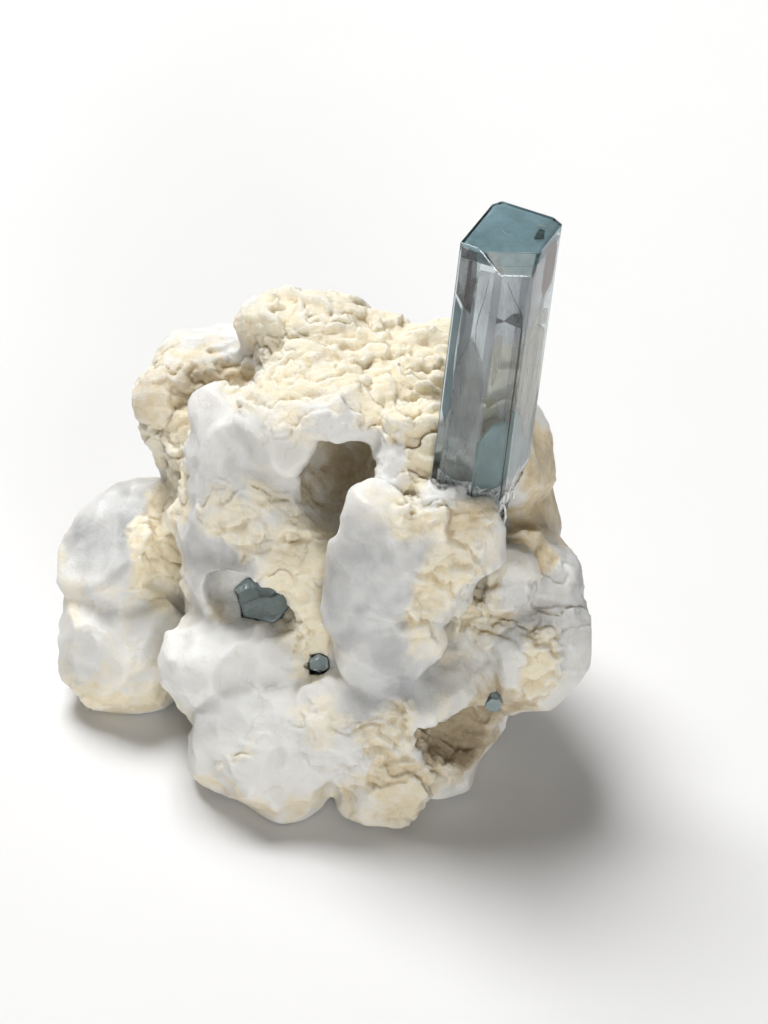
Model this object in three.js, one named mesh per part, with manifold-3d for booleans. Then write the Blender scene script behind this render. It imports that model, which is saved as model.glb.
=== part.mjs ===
// Aquamarine on matrix: an upright beryl prism and three small beryls, on a lump of white albite and quartz.
// Millimetres, +Z up. The specimen stands on its own trimmed knobs, on z = 0, with the origin below its middle.
import * as THREE from "three";
import { mergeVertices } from "three/addons/utils/BufferGeometryUtils.js";
import { ImprovedNoise } from "three/addons/math/ImprovedNoise.js";
import Module from "manifold-3d";

const wasm = await Module();
wasm.setup();

// ---------------------------------------------------------------- driving dimensions
const SOCKET_GAP = 0.3; // clearance between a crystal and the stone that grips it
const WAVE_LENGTH = 6.5; // distance between the swells that weathering left on a lump
const EDGE_LENGTH = 2.2; // longest triangle side wanted on the stone

const noise = new ImprovedNoise();

// ---------------------------------------------------------------- helpers
// A closed geometry with only positions, whose equal vertices are one vertex.
function weld(geometry) {
  const bare = new THREE.BufferGeometry();
  bare.setAttribute("position", geometry.attributes.position);
  if (geometry.index) bare.setIndex(geometry.index);
  return mergeVertices(bare, 1e-4);
}

function toSolid(geometry) {
  const welded = weld(geometry);
  return new wasm.Manifold(
    new wasm.Mesh({
      numProp: 3,
      vertProperties: new Float32Array(welded.attributes.position.array),
      triVerts: new Uint32Array(welded.index.array),
    }),
  );
}

function toGeometry(solid) {
  const mesh = solid.getMesh();
  const geometry = new THREE.BufferGeometry();
  geometry.setAttribute("position", new THREE.BufferAttribute(mesh.vertProperties, 3));
  geometry.setIndex(new THREE.BufferAttribute(mesh.triVerts, 1));
  return geometry;
}

// A rotation from three angles in degrees, turned about X, then Y, then Z.
function turned([x, y, z]) {
  const rad = THREE.MathUtils.degToRad;
  return new THREE.Quaternion().setFromEuler(new THREE.Euler(rad(x), rad(y), rad(z), "ZYX"));
}

function seededRandom(seed) {
  let state = seed;
  return () => {
    state = (state * 1664525 + 1013904223) % 4294967296;
    return state / 4294967296;
  };
}

// ---------------------------------------------------------------- stone
const PLAIN_LUMP = { turn: [0, 0, 0], square: 2.3, taper: 1, swell: 0.35, chips: 7, coarse: 1 };

// One lump: a ball pushed out towards a box (square above 2), with flats chipped off it, narrowed towards its
// lower end (taper is the width kept there), then stretched, turned and swollen unevenly.
// Lumps with coarse above 1 are mostly hidden.
function lump(shape) {
  const { at, size, turn, square, taper, swell, chips, coarse, seed } = { ...PLAIN_LUMP, ...shape };
  const [rx, ry, rz] = size;
  const detail = Math.max(2, Math.round(Math.cbrt(rx * ry * rz) / (EDGE_LENGTH * coarse)));
  const ball = weld(new THREE.IcosahedronGeometry(1, detail));
  const place = ball.attributes.position;
  const centre = new THREE.Vector3(...at);
  const rotation = turned(turn);
  const random = seededRandom(seed * 7919 + Math.round(rx * 100 + ry * 10));
  const flats = Array.from({ length: chips }, () => ({
    facing: new THREE.Vector3(random() - 0.5, random() - 0.5, random() - 0.5).normalize(),
    share: 0.76 + 0.18 * random(),
  }));
  const v = new THREE.Vector3();
  for (let i = 0; i < place.count; i++) {
    v.fromBufferAttribute(place, i);
    const reach = Math.abs(v.x) ** square + Math.abs(v.y) ** square + Math.abs(v.z) ** square;
    v.multiplyScalar(reach ** (-1 / square));
    for (const { facing, share } of flats) {
      const over = v.dot(facing) - share;
      if (over > 0) v.addScaledVector(facing, -over);
    }
    const width = THREE.MathUtils.lerp(taper, 1, Math.min(1, (v.z + 1) / 1.5));
    v.set(v.x * width * rx, v.y * width * ry, v.z * rz).applyQuaternion(rotation);
    const w = v.clone().add(centre).divideScalar(WAVE_LENGTH);
    const rise = swell * (noise.noise(w.x, w.y, w.z) + 0.5 * noise.noise(2.1 * w.x, 2.1 * w.y, 2.1 * w.z));
    v.addScaledVector(v.clone().normalize(), 2 * rise).add(centre);
    place.setXYZ(i, v.x, v.y, v.z);
  }
  return toSolid(ball);
}

const TONGUE = { taper: 0.6, chips: 4 };
const LOBE = { square: 3, taper: 0.85, chips: 4 };

const LUMPS = [
  // the body that everything else sits on
  { at: [1.5, 4, 18], size: [15.5, 13, 14.5], square: 2.8, coarse: 1.3, seed: 1 },
  { at: [8.4, -3.6, 7.4], size: [11.4, 11.6, 9.5], turn: [0, 0, 35], square: 3, seed: 2 },
  // left side: foot, shoulder, waist and the block above
  { at: [-19.3, 6.8, 5.8], size: [6.7, 8.4, 7], square: 3.2, chips: 5, seed: 3 },
  { at: [-18.8, 9, 14.4], size: [7.6, 7.5, 4.4], turn: [0, -27, 0], square: 2.8, chips: 5, seed: 4 },
  { at: [-11.5, 11, 20.5], size: [4.6, 6, 9], seed: 5 },
  { at: [-11.6, 15.6, 25.9], size: [6.2, 6, 7], square: 3.6, chips: 4, seed: 6 },
  { at: [-11, 17.4, 30.8], size: [6, 4.5, 2.6], turn: [0, -14, 0], chips: 4, seed: 7 },
  // flat top with its crest
  { at: [1.5, 7.5, 31.2], size: [11, 11.5, 6.3], square: 3, seed: 8 },
  { at: [-2, 14, 34], size: [6.8, 6, 4.8], turn: [0, 4, 0], square: 2.6, seed: 9 },
  { at: [11, 7.5, 30.8], size: [7.5, 8.5, 7.2], square: 3, chips: 5, seed: 10 },
  // behind the crystal, down the right side
  { at: [16.2, 6, 26], size: [5.2, 6.5, 6.8], chips: 5, seed: 11 },
  { at: [17.5, 4, 18.5], size: [5.2, 7, 6.5], chips: 5, seed: 12 },
  // the lip over the upper pocket, the wall beside it, and the mass left of it
  { at: [0.5, 0.6, 35.2], size: [6.6, 5, 2.6], turn: [8, 0, 0], chips: 3, seed: 13 },
  { at: [6.6, -3.6, 30], size: [2.8, 4.5, 8.5], turn: [0, 8, 0], chips: 4, seed: 14 },
  { at: [-7.6, 2.5, 24.5], size: [7, 7, 10], square: 2.5, seed: 15 },
  { at: [10, -2.6, 31.4], size: [3.6, 5, 6.5], seed: 16 },
  // tongue of clear quartz with its right half and top knob
  { ...TONGUE, at: [5, -10.6, 22.2], size: [5.5, 4.4, 11.6], turn: [-5, 3, 0], square: 2.6, seed: 17 },
  { ...TONGUE, at: [10, -9.2, 24.2], size: [4.8, 4.4, 9.2], turn: [0, 22, 0], square: 2.6, seed: 18 },
  { ...TONGUE, at: [7, -11.4, 16.6], size: [3.8, 3, 6.6], turn: [0, 10, 0], chips: 3, seed: 19 },
  { at: [10.8, -8.4, 31.6], size: [2.5, 2.8, 2.7], chips: 4, seed: 20 },
  { at: [3, -6.6, 28], size: [3.2, 3.2, 3.6], chips: 4, seed: 21 },
  { at: [-0.5, -4.5, 16.5], size: [4, 5, 9], seed: 22 },
  { at: [-0.5, -6.6, 11.6], size: [3, 3.4, 4.4], chips: 3, seed: 35 },
  // front: lower left, knob and bottom
  { at: [-7.2, -5.2, 8.8], size: [8.6, 6.4, 7], square: 3.6, chips: 3, seed: 23 },
  { at: [-5.4, -10.4, 5.4], size: [7.1, 7.3, 7], turn: [0, 20, 0], square: 3.4, chips: 3, seed: 24 },
  { at: [1.6, -13.2, 8.6], size: [5, 4, 5.4], turn: [0, 12, 0], chips: 4, seed: 25 },
  { at: [5.8, -12.9, 4.2], size: [6.2, 4.8, 4.6], square: 2.6, chips: 4, seed: 26 },
  { at: [10.6, -11.6, 2], size: [2, 2.6, 2.2], chips: 3, seed: 32 },
  // right lobes, gripping the foot of the crystal
  { ...LOBE, at: [18, -6.4, 13.5], size: [7.1, 6.2, 5.8], turn: [0, -8, 0], seed: 27 },
  { at: [13.9, -6.2, 16], size: [3.2, 3.4, 4.6], chips: 4, seed: 37 },
  { at: [18.8, -2.6, 17.5], size: [5.6, 6, 6.2], chips: 4, seed: 28 },
  { at: [17.4, -7, 20.6], size: [2.7, 3, 4.6], turn: [0, 25, 0], chips: 3, seed: 34 },
  // the back, where it stands on a third foot
  { at: [-9, 14, 10], size: [9, 8, 9.5], square: 2.6, coarse: 1.2, seed: 29 },
  { at: [6, 14, 9.4], size: [10, 8, 9.5], square: 2.6, coarse: 1.2, seed: 30 },
  { at: [13, 10, 20], size: [8, 8, 9], coarse: 1.2, seed: 31 },
  { at: [-14.5, 9.5, 9.5], size: [5.5, 6, 8], coarse: 1.2, seed: 36 },
];

const POCKETS = [
  { at: [1, -3.5, 30], size: [4.5, 7.5, 4.9], swell: 0.2, chips: 3, seed: 41 },
  { at: [-7, -6.6, 18.6], size: [4.9, 7, 2.9], swell: 0.2, chips: 3, seed: 42 },
  { at: [12.6, -13, 8.4], size: [6, 4.6, 3.2], turn: [0, 24, 0], swell: 0.2, chips: 3, seed: 43 },
];

// Flat breaks, where the specimen came off the pocket wall and where its base was trimmed: outward normal and
// distance from the origin of the lumps.
const BREAKS = [
  { facing: [0, 0, -1], distance: 0 },
  { facing: [0.05, 1, -0.1], distance: 18.8 },
  { facing: [-0.6, 0.8, -0.15], distance: 21 },
  { facing: [0.7, 0.7, -0.1], distance: 20 },
  { facing: [0.45, 0.72, -0.52], distance: 13.4 },
  { facing: [-0.3, 0.85, -0.5], distance: 15.5 },
];

// Everything beyond a flat break.
function beyond({ facing, distance }) {
  const half = new THREE.BoxGeometry(160, 160, 80).translate(0, 0, 40 + distance);
  const normal = new THREE.Vector3(...facing).normalize();
  const turn = new THREE.Quaternion().setFromUnitVectors(new THREE.Vector3(0, 0, 1), normal);
  return toSolid(half.applyQuaternion(turn));
}

// ---------------------------------------------------------------- beryl
// A prism below its basal face, which is on z = 0: each side face is given by the azimuth of its normal and
// its distance from the axis. Each bevel is a pyramid face: azimuth, distance where it meets the basal face, and
// slope in degrees. Each foot cut is the same at the lower end, where the crystal draws in towards its root.
function prism({ faces, bevels = [], footCuts = [], length }, grow = 0) {
  const rad = THREE.MathUtils.degToRad;
  const corners = faces.map(([azimuth, distance], i) => {
    const [nextAzimuth, nextDistance] = faces[(i + 1) % faces.length];
    const a = rad(azimuth);
    const b = rad(nextAzimuth);
    const p = distance + grow;
    const q = nextDistance + grow;
    const x = p * Math.sin(b) - q * Math.sin(a);
    const y = q * Math.cos(a) - p * Math.cos(b);
    return new THREE.Vector2(x, y).divideScalar(Math.sin(b - a));
  });
  const shape = new THREE.Shape(corners);
  const body = new THREE.ExtrudeGeometry(shape, { depth: length + 2 * grow, bevelEnabled: false });
  let solid = toSolid(body.translate(0, 0, -length - grow));
  for (const [azimuth, distance, slope] of bevels) {
    const cutter = new THREE.BoxGeometry(40, 40, 40).translate(0, 0, 20 + grow);
    cutter.rotateY(rad(slope));
    cutter.translate(distance, 0, 0);
    cutter.rotateZ(rad(azimuth));
    solid = solid.subtract(toSolid(cutter));
  }
  for (const [azimuth, distance, slope] of footCuts) {
    const cutter = new THREE.BoxGeometry(40, 40, 40).translate(0, 0, -20 - grow);
    cutter.rotateY(-rad(slope));
    cutter.translate(distance, 0, -length);
    cutter.rotateZ(rad(azimuth));
    solid = solid.subtract(toSolid(cutter));
  }
  return solid;
}

// Moves a crystal so that the middle of its basal face is at a point and its axis runs along a direction.
function grown(crystal, grow = 0) {
  const geometry = toGeometry(prism(crystal, grow));
  const upright = new THREE.Vector3(0, 0, 1);
  const axis = new THREE.Vector3(...crystal.axis).normalize();
  geometry.applyQuaternion(new THREE.Quaternion().setFromUnitVectors(upright, axis));
  geometry.translate(...crystal.top);
  return toSolid(geometry);
}

// Prism faces 60 degrees apart are hexagonal ones; those 30 degrees off them are the second-order prism.
const AQUAMARINE = {
  top: [16.7, -5.3, 58.6],
  axis: [0.092, -0.035, 1],
  length: 38,
  faces: [
    [-84, 4.52],
    [-24, 3.7],
    [36, 4.45],
    [66, 3.64],
    [126, 3.87],
    [156, 2.95],
    [246, 4.58],
  ],
  bevels: [[-84, 3.35, 61]],
  footCuts: [
    [-24, 1.5, 80],
    [-84, 3.2, 82],
    [36, 3, 82],
  ],
};

function hexagon(radius, spin) {
  return [0, 60, 120, 180, 240, 300].map((azimuth) => [azimuth + spin, radius]);
}

const SMALL_BERYLS = {
  beryl_pocket: { top: [-5.6, -3, 17], axis: [-0.2, -0.35, 1], length: 8, faces: hexagon(2.9, 10) },
  beryl_chip_left: { top: [-0.6, -9.9, 14], axis: [-0.1, -0.8, 0.6], length: 4.5, faces: hexagon(1, 0) },
  beryl_chip_right: { top: [15.7, -12.7, 11.1], axis: [0.1, -0.9, -0.1], length: 5, faces: hexagon(0.9, 20) },
};

// ---------------------------------------------------------------- assembly
let stone = LUMPS.map(lump).reduce((whole, piece) => whole.add(piece));
for (const pocket of POCKETS) stone = stone.subtract(lump(pocket));
const crystals = { aquamarine: AQUAMARINE, ...SMALL_BERYLS };
for (const crystal of Object.values(crystals)) stone = stone.subtract(grown(crystal, SOCKET_GAP));
for (const flat of BREAKS) stone = stone.subtract(beyond(flat));

const specimen = new THREE.Group();

function addPiece(name, solid, look) {
  const mesh = new THREE.Mesh(toGeometry(solid), new THREE.MeshStandardMaterial(look));
  mesh.name = name;
  specimen.add(mesh);
}

addPiece("matrix", stone, { color: 0xe6e0cf, roughness: 0.7, metalness: 0 });
for (const [name, crystal] of Object.entries(crystals)) {
  addPiece(name, grown(crystal), { color: 0x8fb5b5, roughness: 0.05, metalness: 0 });
}

// The origin is below the middle of the whole specimen, on the plane it stands on.
const bounds = new THREE.Box3().setFromObject(specimen);
const middle = bounds.getCenter(new THREE.Vector3());
for (const mesh of specimen.children) mesh.geometry.translate(-middle.x, -middle.y, -bounds.min.z);

export default specimen;
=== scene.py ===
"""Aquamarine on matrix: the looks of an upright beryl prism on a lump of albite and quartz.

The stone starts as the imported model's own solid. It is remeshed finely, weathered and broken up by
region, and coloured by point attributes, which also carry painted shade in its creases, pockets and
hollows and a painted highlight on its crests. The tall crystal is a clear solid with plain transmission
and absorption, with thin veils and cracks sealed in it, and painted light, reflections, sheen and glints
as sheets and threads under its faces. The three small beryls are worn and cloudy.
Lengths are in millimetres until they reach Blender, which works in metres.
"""

import math

import bmesh
import bpy
import numpy as np
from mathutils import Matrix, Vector
from mathutils.bvhtree import BVHTree


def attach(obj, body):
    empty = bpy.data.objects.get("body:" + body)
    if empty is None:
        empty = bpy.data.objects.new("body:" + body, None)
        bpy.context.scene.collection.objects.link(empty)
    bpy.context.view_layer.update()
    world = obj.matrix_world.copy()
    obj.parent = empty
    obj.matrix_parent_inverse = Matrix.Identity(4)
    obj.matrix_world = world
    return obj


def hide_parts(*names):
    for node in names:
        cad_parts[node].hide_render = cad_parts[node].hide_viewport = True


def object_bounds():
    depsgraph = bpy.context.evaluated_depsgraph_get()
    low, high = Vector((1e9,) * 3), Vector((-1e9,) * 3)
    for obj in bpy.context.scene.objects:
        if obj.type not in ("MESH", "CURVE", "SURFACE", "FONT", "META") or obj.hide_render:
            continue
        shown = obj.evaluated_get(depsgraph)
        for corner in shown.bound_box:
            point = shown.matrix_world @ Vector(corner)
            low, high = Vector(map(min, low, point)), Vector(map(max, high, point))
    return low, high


MM = 0.001

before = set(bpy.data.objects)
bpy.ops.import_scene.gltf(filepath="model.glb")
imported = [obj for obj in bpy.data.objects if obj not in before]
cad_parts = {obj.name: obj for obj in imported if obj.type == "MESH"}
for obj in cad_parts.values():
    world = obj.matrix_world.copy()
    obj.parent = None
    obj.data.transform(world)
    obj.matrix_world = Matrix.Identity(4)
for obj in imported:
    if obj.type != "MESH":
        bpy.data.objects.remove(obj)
cad_box = [list(corner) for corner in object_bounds()]
scene = bpy.context.scene


# repeatable noise ---------------------------------------------------------------------------------
def cell_value(cell, seed):
    """A repeatable number from 0 to 1 for each whole-number cell of space."""
    h = (cell[..., 0] * 73856093) ^ (cell[..., 1] * 19349663) ^ (cell[..., 2] * 83492791)
    h = h ^ (seed * 2654435761)
    h = ((h ^ (h >> 13)) * 1274126177) & 0xFFFFFFFF
    h = ((h ^ (h >> 16)) * 668265263) & 0xFFFFFFFF
    return ((h ^ (h >> 15)) & 0xFFFFFF) / 0x1000000


def swell(points, size, seed=0):
    """Smooth noise from -1 to 1, whose bumps are about size apart."""
    p = points / size
    base = np.floor(p).astype(np.int64)
    f = p - base
    f = f * f * f * (f * (f * 6 - 15) + 10)
    total = np.zeros(len(points))
    for dx in (0, 1):
        for dy in (0, 1):
            for dz in (0, 1):
                weight = (
                    (f[:, 0] if dx else 1 - f[:, 0])
                    * (f[:, 1] if dy else 1 - f[:, 1])
                    * (f[:, 2] if dz else 1 - f[:, 2])
                )
                total += weight * cell_value(base + np.array((dx, dy, dz)), seed)
    return total * 2 - 1


def rough(points, size, octaves=3, seed=0):
    """Layers of smooth noise, each half the size and height of the one before, from about -1 to 1."""
    total = np.zeros(len(points))
    for octave in range(octaves):
        total += swell(points, size / 2**octave, seed + octave) / 2**octave
    return total / 1.5


def chips(points, size, seed=0, tilt=1.0):
    """Broken ground: each cell of space is a flat at its own height and slope, from about -1 to 1."""
    p = points / size
    base = np.floor(p).astype(np.int64)
    nearest = np.full(len(points), 9.0)
    height = np.zeros(len(points))
    for dx in (-1, 0, 1):
        for dy in (-1, 0, 1):
            for dz in (-1, 0, 1):
                cell = base + np.array((dx, dy, dz))
                jitter = np.stack([cell_value(cell, seed + k) for k in (11, 12, 13)], axis=1)
                away = p - (cell + jitter)
                distance = (away**2).sum(1)
                slope = np.stack([cell_value(cell, seed + k) for k in (14, 15, 16)], axis=1) * 2 - 1
                flat = 0.6 * (cell_value(cell, seed + 17) * 2 - 1) + tilt * (slope * away).sum(1)
                closer = distance < nearest
                height = np.where(closer, flat, height)
                nearest = np.where(closer, distance, nearest)
    return height


def facets(points, size, seed=0):
    """Uneven flats that meet in ridges: the lowest of the tilted dishes nearby, from about -1 to 1."""
    p = points / size
    base = np.floor(p).astype(np.int64)
    lowest = np.full(len(points), 9.0)
    for dx in (-1, 0, 1):
        for dy in (-1, 0, 1):
            for dz in (-1, 0, 1):
                cell = base + np.array((dx, dy, dz))
                jitter = np.stack([cell_value(cell, seed + k) for k in (11, 12, 13)], axis=1)
                slope = np.stack([cell_value(cell, seed + k) for k in (14, 15, 16)], axis=1) * 2 - 1
                away = p - (cell + jitter)
                dish = 0.9 * (away**2).sum(1) + 0.75 * (slope * away).sum(1)
                dish += 0.35 * cell_value(cell, seed + 17)
                lowest = np.minimum(lowest, dish)
    return (lowest - 0.28) * 2.2


def smoothstep(low, high, x):
    t = np.clip((x - low) / (high - low), 0, 1)
    return t * t * (3 - 2 * t)


# mesh helpers -------------------------------------------------------------------------------------
def coordinates(mesh):
    co = np.empty(len(mesh.vertices) * 3, np.float32)
    mesh.vertices.foreach_get("co", co)
    return co.reshape(-1, 3).astype(float)


def set_coordinates(mesh, points):
    mesh.vertices.foreach_set("co", points.astype(np.float32).ravel())
    mesh.update()


def normals(mesh):
    out = np.empty(len(mesh.vertices) * 3, np.float32)
    mesh.vertex_normals.foreach_get("vector", out)
    return out.reshape(-1, 3).astype(float)


def store(mesh, name, values):
    attribute = mesh.attributes.get(name) or mesh.attributes.new(name, "FLOAT", "POINT")
    attribute.data.foreach_set("value", values.astype(np.float32))


def new_object(name, mesh):
    obj = bpy.data.objects.new(name, mesh)
    scene.collection.objects.link(obj)
    return obj


def copy_of_node(node, name):
    """A copy of a CAD node's mesh in one welded piece."""
    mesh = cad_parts[node].data.copy()
    mesh.materials.clear()
    bm = bmesh.new()
    bm.from_mesh(mesh)
    bmesh.ops.remove_doubles(bm, verts=bm.verts, dist=0.001 * MM)
    bm.to_mesh(mesh)
    bm.free()
    return new_object(name, mesh)


def modified(obj, kind, **settings):
    """Applies one modifier to an object's mesh."""
    modifier = obj.modifiers.new(kind, kind)
    for key, value in settings.items():
        setattr(modifier, key, value)
    graph = bpy.context.evaluated_depsgraph_get()
    mesh = bpy.data.meshes.new_from_object(obj.evaluated_get(graph), depsgraph=graph)
    obj.modifiers.clear()
    old = obj.data
    obj.data = mesh
    bpy.data.meshes.remove(old)


def shade_smooth(obj):
    obj.data.polygons.foreach_set("use_smooth", [True] * len(obj.data.polygons))


def give(obj, material):
    obj.data.materials.clear()
    obj.data.materials.append(material)


# regions of the stone ---------------------------------------------------------------------------
# Each zone is a soft-edged blob: its centre and half-sizes in millimetres, and how much it brings of
# each look.
#   crumb  broken, sugary albite      cream, tan, umber  stains, from pale to dark; tan and umber also carry painted shade
#   clear  grey see-through quartz    white  milky quartz
ZONES = [
    # the flat top, its crest and the cap of the block on the left
    ((1, 6, 37.5), (13, 11, 5), {"crumb": 1.0, "cream": 0.75}),
    ((9, 4, 37), (7, 8, 5), {"crumb": 1.0, "cream": 0.8}),
    ((10, -4, 37), (4.5, 5, 5), {"crumb": 1.0, "cream": 0.85}),
    ((-2, 12, 38), (7, 5, 3), {"crumb": 0.4, "white": 0.7}),
    ((-11, 15, 33.5), (7, 6, 2.2), {"white": 1.0}),
    ((-12, 9.5, 29.5), (7.5, 5, 4.5), {"crumb": 0.8, "cream": 0.6, "tan_and_shade": 0.5}),
    ((-6.5, 8, 30), (4, 5, 4), {"crumb": 0.6, "tan_and_shade": 0.35, "umber_and_shade": 0.2}),
    ((-14, 4, 23.5), (4.8, 6, 7), {"crumb": 0.55, "cream": 0.85}),
    # left: shoulder of grey quartz, cream where it meets the body, and the pale foot
    ((-21, 5, 17.5), (7, 9, 4.5), {"clear": 1.0}),
    ((-14.5, 1, 17), (3.8, 6, 5), {"cream": 0.9, "crumb": 0.5}),
    ((-20, -1, 10), (8, 9, 6), {"white": 0.6, "cream": 0.25}),
    # painted shade: a tan band along the floor under the foot
    ((-20, -4, 2.5), (9, 9, 2.6), {"cream": 0.75, "tan_and_shade": 0.35, "crumb": 0.25}),
    # the mass left of the upper pocket
    ((-9, -3, 30), (5.5, 6, 5), {"white": 0.5, "clear": 0.3}),
    ((-7.5, -5.5, 26.5), (3.5, 4, 3.5), {"crumb": 0.6, "cream": 0.7}),
    ((-4, -6, 23.5), (3, 4, 3), {"crumb": 0.6, "cream": 0.6}),
    ((-10.5, -5, 21.5), (4.5, 4, 3.5), {"clear": 0.7}),
    # painted shade: grey, tan and umber darken the stone around the small beryl's pocket
    ((-6, -7, 17.5), (5, 3.5, 3.5), {"clear": 0.7, "tan_and_shade": 0.3, "umber_and_shade": 0.3}),
    # the upper pocket and the wall that runs down from it
    # painted shade: umber and tan inside the upper pocket
    ((2, -1.5, 29.5), (5.5, 6, 5), {"umber_and_shade": 0.5, "tan_and_shade": 0.6, "crumb": 0.3}),
    ((-1.5, -9, 23), (3.2, 4, 7), {"cream": 0.9, "crumb": 0.5}),
    ((-1, -11, 15.5), (2.6, 4, 3.5), {"cream": 0.9, "crumb": 0.5}),
    ((2, -6, 37), (6, 3.5, 2.5), {"white": 0.9}),
    # ridge, rib and knob beside the crystal
    ((6.4, -8, 34), (2.4, 4, 4.5), {"white": 0.8, "crumb": 0.2}),
    ((9.8, -8.4, 34), (2.6, 3, 3.5), {"crumb": 1.0, "cream": 0.9}),
    ((11.2, -11.5, 32.5), (3, 3, 2.6), {"clear": 0.6, "crumb": 0.5}),
    ((13.6, -12.5, 31), (2.8, 3, 2.4), {"crumb": 1.0, "cream": 0.6, "tan_and_shade": 0.6}),
    ((12.6, -13.7, 28), (2.8, 2.6, 4), {"crumb": 1.0, "cream": 0.85, "tan_and_shade": 0.35}),
    ((10, -15, 23.5), (2.2, 3, 4.5), {"crumb": 0.9, "cream": 0.8}),
    ((8.4, -13, 30.5), (1.6, 2.4, 2.6), {"crumb": 0.7, "cream": 0.7}),
    # tongue
    ((4.5, -15, 24), (5.5, 4, 8), {"clear": 0.95}),
    ((11.5, -14.5, 25), (4, 4, 5), {"clear": 0.6, "crumb": 0.35}),
    ((7, -15.5, 15.5), (4, 4, 4), {"clear": 1.0}),
    ((2.4, -13, 31), (2.2, 3, 2.5), {"clear": 0.5, "white": 0.4}),
    # right side
    ((20, -9, 18), (7, 7, 6), {"white": 0.55, "clear": 0.35, "crumb": 0.5}),
    ((15, -11, 19.5), (3.8, 4.5, 3), {"cream": 0.7, "crumb": 0.9, "tan_and_shade": 0.1}),
    ((21, -13.5, 16), (2.2, 3.2, 3.8), {"cream": 0.85, "crumb": 0.9}),
    ((19.7, -6.5, 23.5), (3, 3.4, 3), {"cream": 0.4, "tan_and_shade": 0.9}),
    ((22, 1, 26), (5, 6, 7), {"tan_and_shade": 0.95, "umber_and_shade": 0.4, "clear": 0.4}),
    ((24, -3, 22), (3, 5, 3), {"clear": 1.0}),
    # front and the hollow below the right lobe, with painted shade low down
    ((-9, -12, 10), (7.5, 7, 7), {"white": 0.8}),
    ((1.5, -18, 9.5), (4.5, 4, 4.5), {"white": 0.6, "crumb": 0.4}),
    ((6.5, -18.5, 10), (3, 3.5, 3), {"cream": 0.7, "crumb": 0.8, "tan_and_shade": 0.3}),
    # the crumbly front bottom's tan stain, deepened as painted shade
    ((7.5, -17, 4.5), (5.5, 5, 3.6), {"cream": 0.8, "crumb": 0.9, "tan_and_shade": 0.5}),
    # painted shade: tan and umber in the hollow below the right lobe and under the lobe
    ((12.5, -11, 8), (5.5, 5.5, 5), {"tan_and_shade": 0.9, "umber_and_shade": 0.9, "crumb": 0.5}),
    ((17, -11, 11.5), (5, 4.5, 2.4), {"tan_and_shade": 0.8, "umber_and_shade": 0.6}),
    # painted shade: a tan band along the floor at the front
    ((-5, -17, 2), (10, 6, 2.6), {"cream": 0.35, "tan_and_shade": 0.4}),
    # the broken back, where the piece came off the pocket wall
    ((-4, 18, 15), (8, 6, 6), {"crumb": 0.8, "cream": 0.7, "tan_and_shade": 0.4}),
    ((5, 17, 27), (6, 5, 5), {"crumb": 0.7, "cream": 0.8, "tan_and_shade": 0.3}),
    ((12, 15, 17), (6, 6, 7), {"clear": 0.9}),
    ((19, 10, 9), (6, 7, 5), {"cream": 0.7, "tan_and_shade": 0.6, "crumb": 0.5}),
    ((-14, 14, 22), (5, 5, 5), {"clear": 0.8, "tan_and_shade": 0.3}),
    ((-17, 11, 6), (7, 6, 4), {"cream": 0.6, "tan_and_shade": 0.5, "umber_and_shade": 0.2}),
    ((4, 18, 4), (9, 5, 4), {"tan_and_shade": 0.6, "umber_and_shade": 0.35, "cream": 0.4}),
]
LOOKS = ("crumb", "cream", "tan_and_shade", "umber_and_shade", "clear", "white")

# Seams where crumbly albite fills a crack in the quartz: the points it runs through, its half-width
# and its depth.
SEAMS = [
    ([(14, -14, 31), (12, -15.2, 28), (9.5, -15.6, 25), (8.2, -15.6, 22)], 0.9, 0.5),
    ([(-3, -16.5, 13.5), (-7, -18.5, 8.5), (-10.5, -17, 4.5)], 0.7, 0.3),
]


def zone_weights(points):
    """How much of each look every point has, with ragged edges."""
    wander = 1.6 * rough(points, 3.5, 3, 71)[:, None] * np.array((1, 0.7, 1))
    wander[:, 1] += 1.2 * rough(points, 4.5, 2, 77)
    warped = points + wander
    ragged = 0.3 * rough(points, 2.2, 3, 83)
    weights = {look: np.zeros(len(points)) for look in LOOKS}
    for centre, half, brings in ZONES:
        away = np.sqrt((((warped - np.array(centre)) / np.array(half)) ** 2).sum(1))
        inside = smoothstep(1.35, 0.65, away + ragged)
        for look, amount in brings.items():
            weights[look] = 1 - (1 - weights[look]) * (1 - amount * inside)
    wash = 0.55 * smoothstep(0.05, 0.55, rough(points, 6.5, 3, 87)) * (1 - 0.7 * weights["clear"])
    weights["cream"] = 1 - (1 - weights["cream"]) * (1 - wash)
    return weights


def distance_to_line(points, line):
    best = np.full(len(points), 1e9)
    for start, end in zip(line, line[1:]):
        a = np.array(start, float)
        along = np.array(end, float) - a
        t = np.clip(((points - a) @ along) / (along @ along), 0, 1)
        best = np.minimum(best, np.linalg.norm(points - a - t[:, None] * along, axis=1))
    return best


# stone --------------------------------------------------------------------------------------------
VOXEL = 0.22
STONE_TRIANGLES = 192_000
# gaps between the stone and a crystal: what the breaking-up leaves, then what the grip leaves
ROUGH_GAP = 0.35
GRIP_GAP = 0.07
SMALL_BERYLS = ("beryl_pocket", "beryl_chip_left", "beryl_chip_right")


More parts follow.
